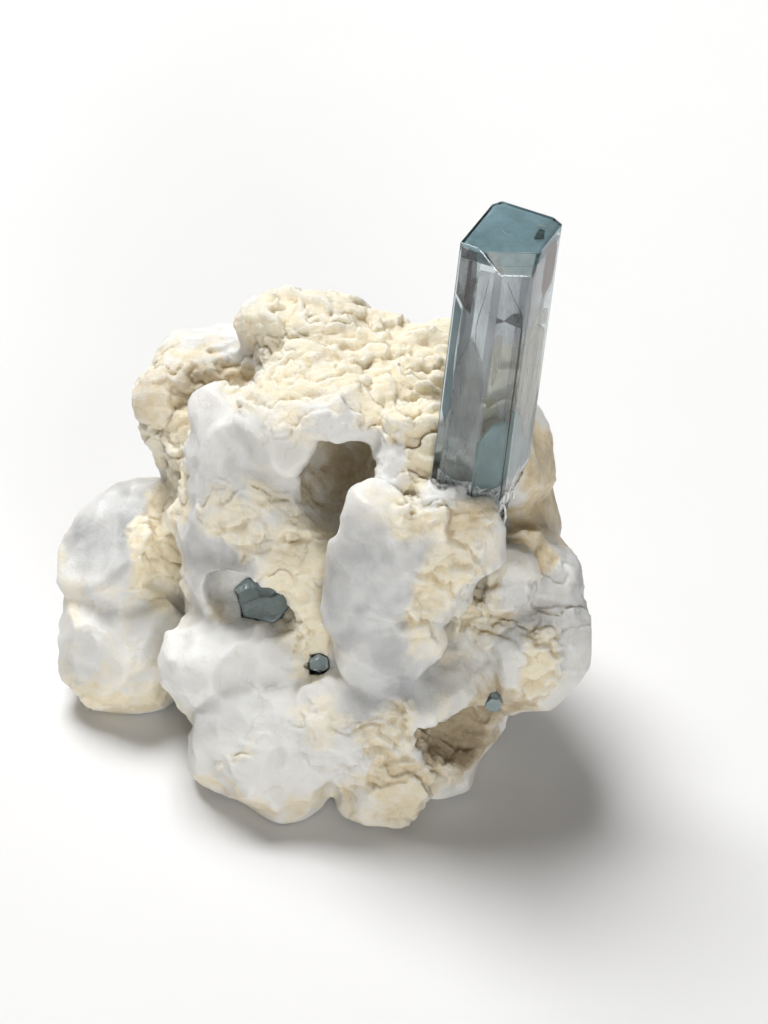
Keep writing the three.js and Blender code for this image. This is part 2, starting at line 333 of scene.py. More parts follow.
def towards_crystals(points, crystals, reach=1.6):
    """For each point, how far the nearest crystal is, up to reach, and the way to it, in millimetres."""
    best = np.full(len(points), reach)
    way = np.zeros((len(points), 3))
    for obj in crystals:
        bm = bmesh.new()
        bm.from_mesh(obj.data)
        tree = BVHTree.FromBMesh(bm)
        bm.free()
        corners = np.array([v.co for v in obj.data.vertices]) / MM
        inside = (points > corners.min(0) - reach) & (points < corners.max(0) + reach)
        near = np.flatnonzero(inside.all(1))
        for i in near:
            place, _, _, distance = tree.find_nearest(Vector(points[i]) * MM, reach * MM)
            if place is not None and distance / MM < best[i]:
                best[i] = distance / MM
                way[i] = np.array(place) / MM - points[i]
    return best, way


def creases(obj, iterations):
    """How far a surface lies below its own smoothed shape, in millimetres: negative on crests."""
    mesh = obj.data
    own = coordinates(mesh) / MM
    out = normals(mesh)
    smoothed = new_object("smoothed", mesh.copy())
    modified(smoothed, "SMOOTH", factor=0.5, iterations=iterations)
    depth = ((coordinates(smoothed.data) / MM - own) * out).sum(1)
    data = smoothed.data
    bpy.data.objects.remove(smoothed)
    bpy.data.meshes.remove(data)
    return depth


def ledges(points, step, dip, seed):
    """Worn layers that rise along the dip and end in broken lips, from 0 at a lip's foot to 1 at its top."""
    bend = 1.5 * rough(points, 5.5, 3, seed) + 0.35 * rough(points, 1.4, 2, seed + 5)
    t = points @ np.array(dip) / step + bend
    part = t - np.floor(t)
    return smoothstep(0.0, 0.22, 1 - part) * (0.35 + 0.65 * part)


def make_stone(crystals):
    stone = copy_of_node("matrix", "matrix_stone")
    modified(stone, "REMESH", mode="VOXEL", voxel_size=VOXEL * MM, adaptivity=0.0)
    modified(stone, "SMOOTH", factor=0.5, iterations=55)
    mesh = stone.data
    points = coordinates(mesh) / MM
    out = normals(mesh)
    look = zone_weights(points)
    seam = np.zeros(len(points))
    groove = np.zeros(len(points))
    for line, half_width, depth in SEAMS:
        shaken = points + 0.5 * rough(points, 1.5, 2, 9)[:, None]
        near = np.exp(-((distance_to_line(shaken, line) / half_width) ** 2))
        seam = np.maximum(seam, near)
        groove = np.maximum(groove, depth * near)
    look["crumb"] = np.maximum(look["crumb"], 0.8 * seam)
    look["cream"] = np.maximum(look["cream"], 0.7 * seam)
    crumb = look["crumb"]

    # quartz: broad uneven faces that meet in ridges
    drift = points + 0.9 * np.stack([rough(points, 4, 2, k) for k in (94, 95, 96)], axis=1)
    height = 0.95 * facets(drift, 6.5, 121) + 0.3 * facets(drift, 2.4, 141)
    height += 0.3 * rough(points, 5.5, 2, 7) + 0.13 * rough(points, 1.3, 3, 61)
    height *= (1 - 0.4 * crumb) * (1 - 0.4 * look["clear"])

    # albite: layers that end in broken lips, over small chips
    bent = points + 0.7 * np.stack([rough(points, 2.6, 2, k) for k in (91, 92, 93)], axis=1)
    blocks = chips(bent, 2.7, 31, 1.0)
    grains = chips(bent * np.array((1, 1, 1.4)), 1.15, 41, 0.9)
    layers = ledges(points, 3.2, (0.35, 0.62, 0.55), 101)
    thin_layers = ledges(points, 1.25, (0.2, 0.7, 0.6), 111)
    broken = 1.05 * (layers - 0.5) + 0.32 * (thin_layers - 0.5) + 0.5 * blocks + 0.15 * grains
    broken += 0.08 * rough(points, 0.8, 2, 51)
    height += crumb * broken
    height -= groove
    height *= smoothstep(0.1, 1.8, points[:, 2])
    gap, _ = towards_crystals(points, crystals)
    height = np.minimum(height, np.maximum(gap - ROUGH_GAP, 0))
    moved = points + out * height[:, None]
    # the stone closes in on the crystals it grips
    gap, way = towards_crystals(moved, crystals)
    close = np.clip((gap - GRIP_GAP) / np.maximum(gap, 1e-6), 0, 1) * smoothstep(1.5, 0.5, gap)
    moved += way * close[:, None]
    moved[:, 2] = np.maximum(moved[:, 2], 0.0)
    set_coordinates(mesh, moved * MM)
    depth = creases(stone, 40)
    # the creases get painted shade and the crests a painted highlight
    store(mesh, "crease_shade", smoothstep(0.02, 0.34, depth))
    store(mesh, "crest_highlight", smoothstep(0.02, 0.3, -depth))
    for name in LOOKS:
        store(mesh, name, look[name])
    count = sum(len(p.vertices) - 2 for p in mesh.polygons)
    modified(stone, "DECIMATE", decimate_type="COLLAPSE", ratio=min(1.0, STONE_TRIANGLES / count))
    low, high = (np.array(c) / MM for c in cad_box)
    kept = coordinates(stone.data) / MM
    set_coordinates(stone.data, np.clip(kept, low, high) * MM)
    shade_smooth(stone)
    return stone


# aquamarine ---------------------------------------------------------------------------------------
# The crystal's own frame: U runs right, V runs back, and depth runs down the axis from the middle of
# the top face. Each prism face is named by its azimuth in degrees and has its distance from the axis.
TIP = np.array((17.33, -7.43, 58.6))
AXIS = np.array((0.092, -0.035, 1.0)) / math.hypot(0.092, 0.035, 1.0)
U_AXIS = np.array((1, 0, 0)) - AXIS * AXIS[0]
U_AXIS = U_AXIS / np.linalg.norm(U_AXIS)
V_AXIS = np.cross(AXIS, U_AXIS)
FOOT_DEPTH = 27.0
EDGE_WEAR = 0.1
FACES = {-84: 4.52, -24: 3.7, 36: 4.45, 66: 3.64, 126: 3.87, 156: 2.95, 246: 4.58}
# the front bevel slopes in above this face: its reach from the axis at the top, and how that grows
BEVEL_FACE = -84
BEVEL_TOP_REACH = 3.35
BEVEL_SLOPE = 0.55


def to_crystal(points):
    """Places in the crystal's frame: right, back, depth."""
    away = points - TIP
    return np.stack([away @ U_AXIS, away @ V_AXIS, -(away @ AXIS)], axis=1)


def from_crystal(places):
    places = np.asarray(places, float)
    return TIP + places[:, :1] * U_AXIS + places[:, 1:2] * V_AXIS - places[:, 2:3] * AXIS


def make_crystal():
    crystal = copy_of_node("aquamarine", "aquamarine_prism")
    bm = bmesh.new()
    bm.from_mesh(crystal.data)
    bmesh.ops.dissolve_limit(bm, angle_limit=math.radians(1), verts=bm.verts, edges=bm.edges)
    sharp = [e for e in bm.edges if len(e.link_faces) == 2 and e.calc_face_angle() > math.radians(12)]
    bmesh.ops.bevel(
        bm,
        geom=sharp,
        offset=EDGE_WEAR * MM,
        offset_type="OFFSET",
        segments=2,
        profile=0.5,
        affect="EDGES",
        clamp_overlap=True,
    )
    bmesh.ops.triangulate(bm, faces=bm.faces)
    for longest in (3.0, 1.6, 0.9, 0.6):
        for _ in range(3):
            long_edges = [e for e in bm.edges if e.calc_length() > longest * MM]
            if not long_edges:
                break
            bmesh.ops.subdivide_edges(bm, edges=long_edges, cuts=1)
            bmesh.ops.triangulate(bm, faces=bm.faces)
    bm.normal_update()
    bm.to_mesh(crystal.data)
    bm.free()
    mesh = crystal.data
    points = coordinates(mesh) / MM
    places = to_crystal(points)
    out = normals(mesh)
    # below the clean prism the crystal is etched into scallops
    start = FOOT_DEPTH + 0.9 * swell(points, 2.4, 201)
    etched = smoothstep(0, 1.2, places[:, 2] - start)
    scallop = chips(points + 0.5 * rough(points, 1.6, 2, 205)[:, None], 2.2, 211, 1.1)
    cut = etched * (0.35 + 0.3 * scallop + 0.2 * rough(points, 1.1, 2, 221))
    points -= out * np.clip(cut, 0, 0.8)[:, None]
    set_coordinates(mesh, points * MM)
    middle = np.array([p.center for p in mesh.polygons]) / MM
    mesh.polygons.foreach_set("use_smooth", to_crystal(middle)[:, 2] > FOOT_DEPTH)
    return crystal


def make_small_beryl(node):
    """A small beryl with its corners worn and its faces broken into shallow steps."""
    grain = copy_of_node(node, node + "_worn")
    modified(grain, "REMESH", mode="VOXEL", voxel_size=0.15 * MM, adaptivity=0.0)
    modified(grain, "SMOOTH", factor=0.5, iterations=8)
    points = coordinates(grain.data) / MM
    steps = chips(points + 0.4 * rough(points, 1.5, 2, 401)[:, None], 1.9, 403, 1.2)
    cut = np.clip(0.25 + 0.3 * steps + 0.08 * rough(points, 0.7, 2, 405), 0, 0.6)
    points -= normals(grain.data) * cut[:, None]
    set_coordinates(grain.data, points * MM)
    shade_smooth(grain)
    return grain


def section(inset, depth, share=1.0, shift=(0, 0), dip=(0, 0)):
    """The outline of the prism at a depth, inset from its faces and from the front bevel."""
    sides = []
    for azimuth, distance in FACES.items():
        reach = distance - inset
        if azimuth == BEVEL_FACE:
            reach = min(reach, BEVEL_TOP_REACH - inset + BEVEL_SLOPE * depth)
        sides.append((math.radians(azimuth), reach))
    sides.sort()
    outline = []
    for (a, p), (b, q) in zip(sides, sides[1:] + [(sides[0][0] + 2 * math.pi, sides[0][1])]):
        u = (p * math.sin(b) - q * math.sin(a)) / math.sin(b - a) * share + shift[0]
        v = (q * math.cos(a) - p * math.cos(b)) / math.sin(b - a) * share + shift[1]
        outline.append((u, v, depth + dip[0] * u + dip[1] * v))
    return outline


def at_azimuth(azimuth, reach, across, depth):
    """A place that is reach from the axis along an azimuth, across to its left, at a depth."""
    c, s = math.cos(math.radians(azimuth)), math.sin(math.radians(azimuth))
    return (reach * c - across * s, reach * s + across * c, depth)


def on_face(azimuth, inset, places):
    """Turns (across, depth) places on one prism face into the crystal's frame, inset below the face."""
    reach = FACES[azimuth] - inset
    return [at_azimuth(azimuth, reach, across, depth) for across, depth in places]


def on_bevel(inset, places):
    """Turns (across, depth) places on the front bevel into the crystal's frame, inset below the bevel."""
    return [
        at_azimuth(BEVEL_FACE, BEVEL_TOP_REACH + BEVEL_SLOPE * depth - inset, across, depth)
        for across, depth in places
    ]


def make_thread(name, path, width, material):
    """A fine crack, also used for painted glints and highlights, as a thin closed rod along a path in the
    crystal's frame that tapers at both ends.
    """
    path = np.array(path, float)
    t = np.linspace(0, len(path) - 1, 8 * (len(path) - 1) + 1)
    low = np.minimum(t.astype(int), len(path) - 2)
    part = (t - low)[:, None]
    before = path[np.maximum(low - 1, 0)]
    after = path[np.minimum(low + 2, len(path) - 1)]
    a, b = path[low], path[low + 1]
    # a Catmull-Rom curve through the path's points
    square = (2 * before - 5 * a + 4 * b - after) * part**2
    cube = (3 * a - before - 3 * b + after) * part**3
    line = 0.5 * (2 * a + (b - before) * part + square + cube)
    line += 0.04 * np.stack([rough(line * 3, 1.3, 2, k) for k in (401, 402, 403)], axis=1)
    vertices = []
    sides = 5
    for i, centre in enumerate(line):
        ahead = line[min(i + 1, len(line) - 1)] - line[max(i - 1, 0)]
        ahead /= np.linalg.norm(ahead)
        one = np.cross(ahead, (0.31, 0.27, 0.91))
        one /= np.linalg.norm(one)
        two = np.cross(ahead, one)
        size = 0.5 * width * (0.25 + 0.75 * math.sin(math.pi * i / (len(line) - 1)) ** 0.5)
        for k in range(sides):
            angle = 2 * math.pi * k / sides
            vertices.append(centre + size * (one * math.cos(angle) + two * math.sin(angle)))
    faces = [tuple(reversed(range(sides))), tuple(range(len(vertices) - sides, len(vertices)))]
    for i in range(len(line) - 1):
        for k in range(sides):
            j = (k + 1) % sides
            faces.append((i * sides + k, i * sides + j, (i + 1) * sides + j, (i + 1) * sides + k))
    mesh = bpy.data.meshes.new(name)
    mesh.from_pydata((from_crystal(vertices) * MM).tolist(), [], faces)
    mesh.update()
    thread = new_object(name, mesh)
    shade_smooth(thread)
    give(thread, material)
    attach(thread, "root")


def make_sheet(name, outline, bulge, seed, material):
    """A thin closed flake inside the crystal, for veils and for sheets of painted light, from its corners in
    the crystal's frame and its unevenness.
    """
    corners = np.array(outline, float)
    centre = corners.mean(0)
    rings = 7
    thickness = 0.03
    top = [centre]
    for ring in range(1, rings + 1):
        for a, b in zip(corners, np.roll(corners, -1, axis=0)):
            for part in range(3):
                top.append(centre + (a + (b - a) * part / 3 - centre) * ring / rings)
    top = np.array(top)
    count = len(corners) * 3
    normal = np.cross(corners[1] - corners[0], corners[2] - corners[0])
    normal /= np.linalg.norm(normal)
    top += normal * (bulge * rough(top, 1.8, 3, seed))[:, None]
    bottom = top - normal * thickness
    faces = []
    for i in range(count):
        faces.append((0, 1 + i, 1 + (i + 1) % count))
    for ring in range(rings - 1):
        for i in range(count):
            a = 1 + ring * count + i
            b = 1 + ring * count + (i + 1) % count
            faces.append((a, a + count, b + count, b))
    n = len(top)
    under = [tuple(n + v for v in reversed(f)) for f in faces]
    rim = 1 + (rings - 1) * count
    side = []
    for i in range(count):
        a, b = rim + i, rim + (i + 1) % count
        side.append((b, a, n + a, n + b))
    mesh = bpy.data.meshes.new(name)
    places = from_crystal(np.vstack([top, bottom])) * MM
    mesh.from_pydata(places.tolist(), [], faces + under + side)
    mesh.update()
    sheet = new_object(name, mesh)
    shade_smooth(sheet)
    give(sheet, material)
    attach(sheet, "root")


# materials ----------------------------------------------------------------------------------------
class Nodes:
    """Short calls that add and link shader nodes."""

    def __init__(self, name):
        self.material = bpy.data.materials.new(name)
        self.material.use_nodes = True
        self.tree = self.material.node_tree
        self.tree.nodes.clear()

    def add(self, kind, inputs=None, **settings):
        node = self.tree.nodes.new(kind)
        for key, value in settings.items():
            setattr(node, key, value)
        for key, value in (inputs or {}).items():
            socket = node.inputs[key]
            if isinstance(value, bpy.types.NodeSocket):
                self.tree.links.new(value, socket)
            else:
                socket.default_value = value
        return node

    def math(self, operation, a, b):
        return self.add("ShaderNodeMath", {0: a, 1: b}, operation=operation).outputs[0]

    def mix(self, share, a, b, blend="MIX"):
        node = self.add("ShaderNodeMix", data_type="RGBA", blend_type=blend, clamp_factor=True)
        for index, value in ((0, share), (6, a), (7, b)):
            if isinstance(value, bpy.types.NodeSocket):
                self.tree.links.new(value, node.inputs[index])
            else:
                node.inputs[index].default_value = value
        return node.outputs[2]

    def ramp(self, value, stops):
        node = self.add("ShaderNodeValToRGB", {0: value})
        elements = node.color_ramp.elements
        while len(elements) < len(stops):
            elements.new(0.5)
        for element, (position, shade_value) in zip(elements, stops):
            element.position = position
            element.color = (*[shade_value] * 3, 1)
        return node.outputs[0]

    def bump(self, strength, distance, height):
        inputs = {"Strength": strength, "Distance": distance, "Height": height}
        return self.add("ShaderNodeBump", inputs).outputs["Normal"]

    def surface(self, shader):
        out = self.add("ShaderNodeOutputMaterial")
        self.tree.links.new(shader.outputs[0], out.inputs["Surface"])
        return out

    def attribute(self, name):
        return self.add("ShaderNodeAttribute", attribute_name=name).outputs["Fac"]

    def noise(self, scale, detail=4.0, roughness=0.55, vector=None, distortion=0.0):
        inputs = {"Scale": scale, "Detail": detail, "Roughness": roughness, "Distortion": distortion}
        if vector is not None:
            inputs["Vector"] = vector
        return self.add("ShaderNodeTexNoise", inputs).outputs["Fac"]


def stone_material():
    n = Nodes("stone_albite_quartz")
    place = n.add("ShaderNodeTexCoord").outputs["Object"]
    cream = n.attribute("cream")
    tan_and_shade = n.attribute("tan_and_shade")
    umber_and_shade = n.attribute("umber_and_shade")
    clear = n.attribute("clear")
    white = n.attribute("white")
    crumb = n.attribute("crumb")
    crease_shade = n.attribute("crease_shade")
    crest_highlight = n.attribute("crest_highlight")
    blotch = n.noise(330, 6, 0.62, place)
    small = n.noise(1300, 5, 0.62, place)
    plain = n.mix(blotch, (0.76, 0.745, 0.69, 1), (0.88, 0.875, 0.84, 1))
    milky = n.mix(blotch, (0.78, 0.785, 0.77, 1), (0.90, 0.90, 0.88, 1))
    clouds = n.ramp(n.noise(210, 4, 0.5, place, 0.6), [(0.38, 0), (0.62, 1)])
    glassy = n.mix(clouds, (0.52, 0.525, 0.525, 1), (0.77, 0.775, 0.765, 1))
    creamy = n.mix(small, (0.93, 0.80, 0.54, 1), (0.985, 0.945, 0.79, 1))
    tan_and_shade_colour = n.mix(small, (0.66, 0.51, 0.30, 1), (0.90, 0.79, 0.55, 1))
    dark = n.mix(small, (0.34, 0.26, 0.15, 1), (0.56, 0.47, 0.32, 1))
    colour = n.mix(white, plain, milky)
    colour = n.mix(clear, colour, glassy)
    patchy = n.math("SUBTRACT", n.noise(520, 6, 0.68, place, 0.4), 0.5)

    def stain_shade_and_reflection(share):
        """Spreads a stain, and the painted shade that tan and umber also carry, in patches, which fade out
        where there is none of it.
        """
        reach = n.math("MULTIPLY", n.ramp(share, [(0, 0), (0.3, 1)]), 1.6)
        ragged = n.math("ADD", share, n.math("MULTIPLY", patchy, reach))
        return n.ramp(ragged, [(0.22, 0), (0.85, 1)])

    colour = n.mix(stain_shade_and_reflection(cream), colour, creamy)
    colour = n.mix(stain_shade_and_reflection(tan_and_shade), colour, tan_and_shade_colour)
    colour = n.mix(stain_shade_and_reflection(umber_and_shade), colour, dark)
    # painted shade: creases in the albite and the cream are darkened towards tan, creases in the quartz
    # towards brown
    albite_crease_shade = n.math("MULTIPLY", crease_shade, n.math("MAXIMUM", crumb, cream))
    colour = n.mix(n.math("MULTIPLY", albite_crease_shade, 0.6), colour, tan_and_shade_colour)
    quartz_crease_shade = n.math("MULTIPLY", crease_shade, n.math("SUBTRACT", 1.0, crumb))
    colour = n.mix(n.math("MULTIPLY", quartz_crease_shade, 0.6), colour, (0.66, 0.59, 0.44, 1))
    # painted highlight: paler, towards white, on the crests
    colour = n.mix(n.math("MULTIPLY", crest_highlight, 0.35), colour, (0.90, 0.89, 0.85, 1))
    wander = n.add("ShaderNodeTexNoise", {"Vector": place, "Scale": 400.0, "Detail": 3.0}).outputs["Color"]
    drift = n.add("ShaderNodeVectorMath", {0: wander}, operation="SCALE")
    drift.inputs["Scale"].default_value = 0.004
    bent = n.add("ShaderNodeVectorMath", {0: place, 1: drift.outputs[0]}, operation="ADD").outputs[0]
    net = n.add("ShaderNodeTexVoronoi", {"Vector": bent, "Scale": 170.0}, feature="DISTANCE_TO_EDGE")
    crack = n.ramp(net.outputs[0], [(0.0, 1), (0.035, 0)])
    crack = n.math("MULTIPLY", crack, n.ramp(n.noise(260, 3, 0.5, place), [(0.5, 0), (0.62, 1)]))
    colour = n.mix(n.math("MULTIPLY", crack, 0.35), colour, (0.62, 0.56, 0.44, 1))
    bump_small = n.noise(2600, 6, 0.65, place)
    bump_tiny = n.noise(7000, 3, 0.6, place)
    height = n.math("ADD", n.math("MULTIPLY", bump_small, 0.7), n.math("MULTIPLY", bump_tiny, 0.3))
    strength = n.math("ADD", n.math("MULTIPLY", crumb, 0.4), 0.5)
    bump = n.bump(strength, 0.0003, height)
    roughness = n.math("ADD", n.math("MULTIPLY", crumb, 0.25), n.math("MULTIPLY", blotch, 0.2))
    roughness = n.math("ADD", roughness, n.math("SUBTRACT", 0.4, n.math("MULTIPLY", clear, 0.14)))
    waxy = n.math("ADD", n.math("MULTIPLY", clear, 0.4), 0.45)
    colour = n.mix(1.0, colour, (0.88, 0.88, 0.88, 1), "MULTIPLY")
    shader = n.add(
        "ShaderNodeBsdfPrincipled",
        {
            "Base Color": colour,
            "Roughness": roughness,
            "IOR": 1.54,
            "Subsurface Weight": waxy,
            "Subsurface Radius": (1.0, 0.9, 0.75),
            "Subsurface Scale": 0.002,
            "Normal": bump,
        },
    )
    n.surface(shader)
    return n.material


def clear_beryl_material():
    """Clear beryl: light passes, bends by beryl's index and loses red along its way."""
    n = Nodes("beryl_clear")
    place = n.add("ShaderNodeTexCoord").outputs["Object"]
    stretched = n.add("ShaderNodeMapping", {"Vector": place, "Scale": (1, 1, 0.06)}).outputs[0]
    lines = n.noise(3200, 3, 0.5, stretched)
    bump = n.bump(0.12, 0.00005, lines)
    patches = n.ramp(n.noise(900, 3, 0.6, place), [(0.55, 0), (0.7, 0.05)])
    shader = n.add(
        "ShaderNodeBsdfPrincipled",
        {
            "Base Color": (0.985, 0.995, 1.0, 1),
            "Roughness": patches,
            "IOR": 1.577,
            "Transmission Weight": 1.0,
            "Normal": bump,
        },
    )
    absorb = n.add("ShaderNodeVolumeAbsorption", {"Color": (0.15, 0.31, 0.33, 1), "Density": 60})
    out = n.surface(shader)
    n.tree.links.new(absorb.outputs[0], out.inputs["Volume"])
    return n.material


def cloudy_beryl_material():
    """Small grey-blue beryls, clouded through, so that they are only partly see-through."""
    n = Nodes("beryl_cloudy")
    place = n.add("ShaderNodeTexCoord").outputs["Object"]
    cloud = n.noise(500, 5, 0.6, place)
    colour = n.mix(cloud, (0.22, 0.30, 0.32, 1), (0.56, 0.66, 0.66, 1))
    bump = n.bump(0.25, 0.0002, n.noise(1500, 4, 0.6, place))
    shader = n.add(
        "ShaderNodeBsdfPrincipled",
        {
            "Base Color": colour,
            "Roughness": 0.12,
            "IOR": 1.577,
            "Transmission Weight": 0.35,
            "Normal": bump,
        },
    )
    n.surface(shader)
    return n.material


def veil_and_painted_light_material(name, colour, low, high, scale, stretch=(1, 1, 1), roughness=0.5):
    """A patchy sheet's material, for a cloud of tiny inclusions and also for painted light, reflections, sheen
    and glints: patches between fully clear (low) and high in opacity.
    """
    n = Nodes(name)
    place = n.add("ShaderNodeTexCoord").outputs["Object"]
    stretched = n.add("ShaderNodeMapping", {"Vector": place, "Scale": stretch}).outputs[0]
    cloud = n.noise(scale, 5, 0.65, stretched)
    span = {"Value": cloud, "From Min": 0.35, "From Max": 0.62, "To Min": low, "To Max": high}
    alpha = n.add("ShaderNodeMapRange", span)
    shaded = n.mix(cloud, (*[c * 0.8 for c in colour], 1), (*[min(1, c * 1.2) for c in colour], 1))
    shader = n.add(
        "ShaderNodeBsdfPrincipled",
        {"Base Color": shaded, "Roughness": roughness, "IOR": 1.2, "Alpha": alpha.outputs[0]},
    )
    n.surface(shader)
    return n.material


# build --------------------------------------------------------------------------------------------
clear_beryl = clear_beryl_material()
dark_beryl = cloudy_beryl_material()
crystal = make_crystal()
give(crystal, clear_beryl)
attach(crystal, "root")
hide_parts("aquamarine")
grains = []
for small in SMALL_BERYLS:
    grain = make_small_beryl(small)
    give(grain, dark_beryl)
    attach(grain, "root")
    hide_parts(small)
    grains.append(grain)

stone = make_stone([crystal] + grains)
give(stone, stone_material())
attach(stone, "root")
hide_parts("matrix")

# sheets of painted teal light under the basal face give it its even blue-grey, standing in for the light seen
# up through the crystal; clouds under the bevel give it its even blue-grey
cap_painted_light = veil_and_painted_light_material("painted_light_under_top", (0.37, 0.55, 0.60), 0.65, 0.95, 350)
make_sheet("painted_light_top_upper", section(0.22, 0.45), 0.08, 301, cap_painted_light)
make_sheet("painted_light_top_lower", section(0.25, 1.5), 0.15, 302, cap_painted_light)
bevel_cloud = veil_and_painted_light_material("veil_under_bevel", (0.78, 0.97, 0.98), 0.75, 0.95, 500)
bevel = on_bevel(0.25, [(-2.7, 0.35), (1.9, 0.35), (1.4, 2.25), (-1.2, 2.25)])
make_sheet("veil_bevel", bevel, 0.03, 303, bevel_cloud)
band_cloud = veil_and_painted_light_material("veil_band", (0.95, 1.0, 1.0), 0.6, 0.95, 900)
band = on_bevel(0.16, [(-2.6, 0.4), (-1.9, 0.4), (-0.5, 2.2), (-1.15, 2.2)])
make_sheet("veil_bevel_band", band, 0.02, 304, band_cloud)

# painted light at the root: pale sheets that lighten the deep end of the crystal, standing in for the light
# the white stone sends into it; level sheets, as depth, share of the section and dip, then two upright ones
root_painted_light = veil_and_painted_light_material("painted_light_root", (0.62, 0.80, 0.82), 0.35, 0.9, 600)
ROOT_PAINTED_LIGHT = [
    (25.5, 0.8, (0.25, 0.5)),
    (28.5, 0.75, (-0.2, 0.3)),
    (31.5, 0.6, (0.2, -0.2)),
    (35, 0.5, (0, 0.2)),
]
for depth, share, dip in ROOT_PAINTED_LIGHT:
    outline = section(0.4, depth, share, (-0.4 * (1 - share), 0.4), dip)
    make_sheet(f"painted_light_root_{int(depth)}", outline, 0.25, 310 + int(depth), root_painted_light)
root_core_painted_light = veil_and_painted_light_material("painted_light_root_core", (0.70, 0.84, 0.85), 0.6, 0.98, 700)
ROOT_CORE = [
    [(1.3, -2.0, 27.2), (1.3, 2.2, 27.2), (0.6, 2.0, 34), (0.5, -1.6, 34)],
    [(-2.0, -1.9, 27.6), (1.2, -1.9, 27.6), (0.5, -1.4, 34), (-1.8, -1.4, 34)],
]
for number, outline in enumerate(ROOT_CORE):
    make_sheet(f"painted_light_root_core_{number}", outline, 0.15, 320 + number, root_core_painted_light)

# veils, healed cracks and stains just under the faces, and painted reflections, a painted sheen at the foot
# and a painted glint
stain_shade_and_reflection = veil_and_painted_light_material("painted_reflection_brown", (0.27, 0.175, 0.15), 0.7, 0.92, 500, (1, 1, 0.4))
dark_reflection = veil_and_painted_light_material("painted_reflection_smoky", (0.15, 0.13, 0.125), 0.4, 0.75, 600, (1, 1, 0.4))
grey = veil_and_painted_light_material("veil_grey", (0.15, 0.16, 0.165), 0.55, 0.8, 900)
streaky = veil_and_painted_light_material("streaky_veil_and_reflection", (0.72, 0.70, 0.61), 0.3, 0.85, 1500, (1, 1, 0.08), 0.3)
teal = veil_and_painted_light_material("veil_teal", (0.37, 0.51, 0.51), 0.6, 0.92, 300, (1, 1, 0.4))
ashen = veil_and_painted_light_material("veil_ashen", (0.53, 0.54, 0.52), 0.2, 0.6, 350, (1, 1, 0.3))
watery = veil_and_painted_light_material("veil_watery", (0.20, 0.31, 0.34), 0.5, 0.85, 400, (1, 1, 0.3))
glassy = veil_and_painted_light_material("painted_sheen_foot", (0.85, 0.93, 0.93), 0.1, 0.95, 1400, (1.6, 1.6, 0.5), 0.2)
pale = veil_and_painted_light_material("painted_reflection_pale", (0.86, 0.84, 0.76), 0.35, 0.75, 1200)
haze = veil_and_painted_light_material("veil_haze", (0.50, 0.51, 0.55), 0.12, 0.5, 260, (1, 1, 0.3))
dark_line = veil_and_painted_light_material("crack_dark", (0.07, 0.07, 0.07), 0.8, 1.0, 900)
bright_line_and_highlight = veil_and_painted_light_material("crack_and_highlight_bright", (0.95, 0.95, 0.95), 0.7, 1.0, 1500, roughness=0.2)
yellow_glint = veil_and_painted_light_material("painted_glint_yellow", (0.90, 0.85, 0.42), 0.5, 0.95, 1500, roughness=0.2)
chip_dark = veil_and_painted_light_material("chip_dark", (0.10, 0.16, 0.16), 0.3, 0.85, 1500)

